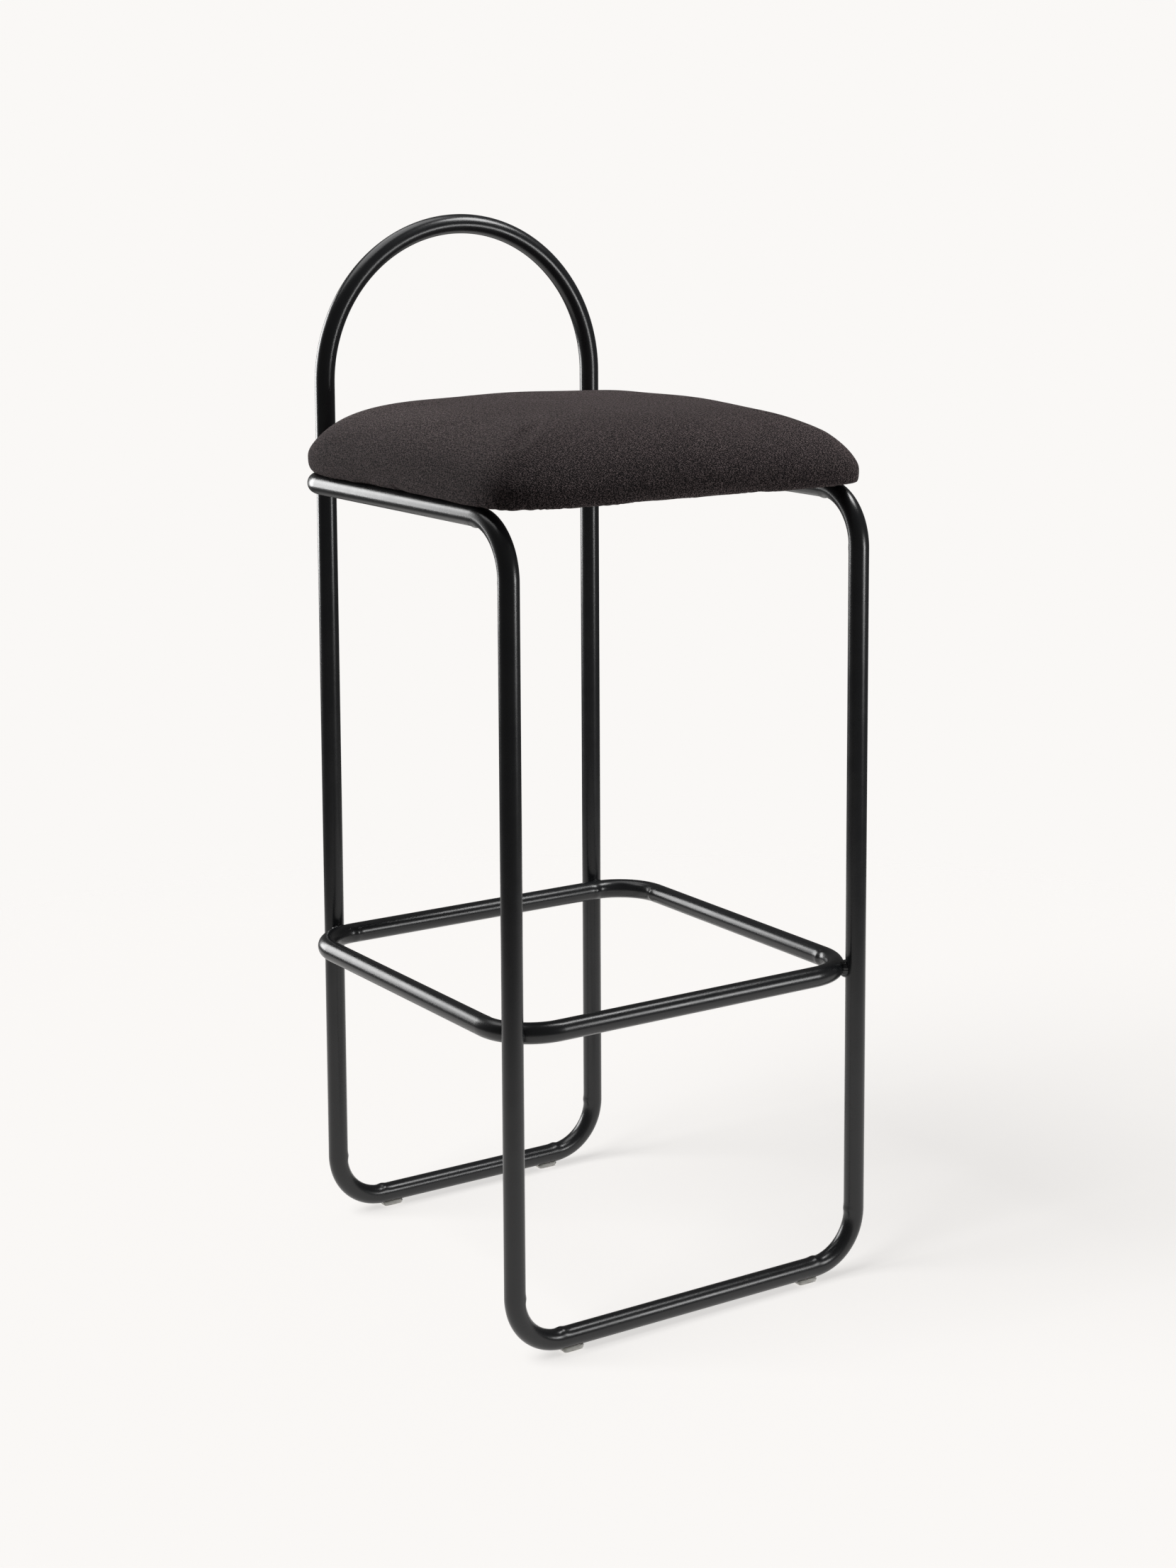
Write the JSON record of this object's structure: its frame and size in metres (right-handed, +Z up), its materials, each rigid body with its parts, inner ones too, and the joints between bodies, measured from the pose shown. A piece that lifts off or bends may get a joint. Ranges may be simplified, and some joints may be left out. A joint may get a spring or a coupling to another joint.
{
  "type": "bar stool with footrest",
  "caption": "Bar stool: welded round-tube frame with a footrest ring, a semicircular tube backrest and a domed upholstered seat.",
  "frame": {"origin": "on the floor, under the middle of the bounding box", "axes": "+Z up; the stool faces -Y, with the backrest at +Y; X runs across the seat"},
  "size_m": [0.38, 0.401, 0.941],
  "materials": {
    "powder_coated_steel": "satin",
    "woven_fabric": "matte",
    "foam": "matte",
    "plywood": "satin",
    "lining_cloth": "matte",
    "zinc_plated_steel": "satin",
    "clear_plastic": "satin"
  },
  "bodies": {
    "root": {"front_loop": "powder_coated_steel", "rear_loop": "powder_coated_steel", "footrest_ring": "powder_coated_steel", "footrest_weld_front_left": "powder_coated_steel", "footrest_weld_front_right": "powder_coated_steel", "footrest_weld_rear_left": "powder_coated_steel", "footrest_weld_rear_right": "powder_coated_steel", "seat_weld_left": "powder_coated_steel", "seat_weld_right": "powder_coated_steel", "seat_lug_front_left": "powder_coated_steel", "seat_lug_front_right": "powder_coated_steel", "seat_lug_rear_left": "powder_coated_steel", "seat_lug_rear_right": "powder_coated_steel", "seat_screw_front_left": "zinc_plated_steel", "seat_screw_front_right": "zinc_plated_steel", "seat_screw_rear_left": "zinc_plated_steel", "seat_screw_rear_right": "zinc_plated_steel", "threaded_insert_front_left": "zinc_plated_steel", "threaded_insert_front_right": "zinc_plated_steel", "threaded_insert_rear_left": "zinc_plated_steel", "threaded_insert_rear_right": "zinc_plated_steel", "seat_board": "plywood", "foam_pad": "foam", "seat_cover": "woven_fabric", "lining": "lining_cloth", "glide_front_left": "clear_plastic", "glide_front_right": "clear_plastic", "glide_rear_left": "clear_plastic", "glide_rear_right": "clear_plastic"}
  },
  "joints": []
}
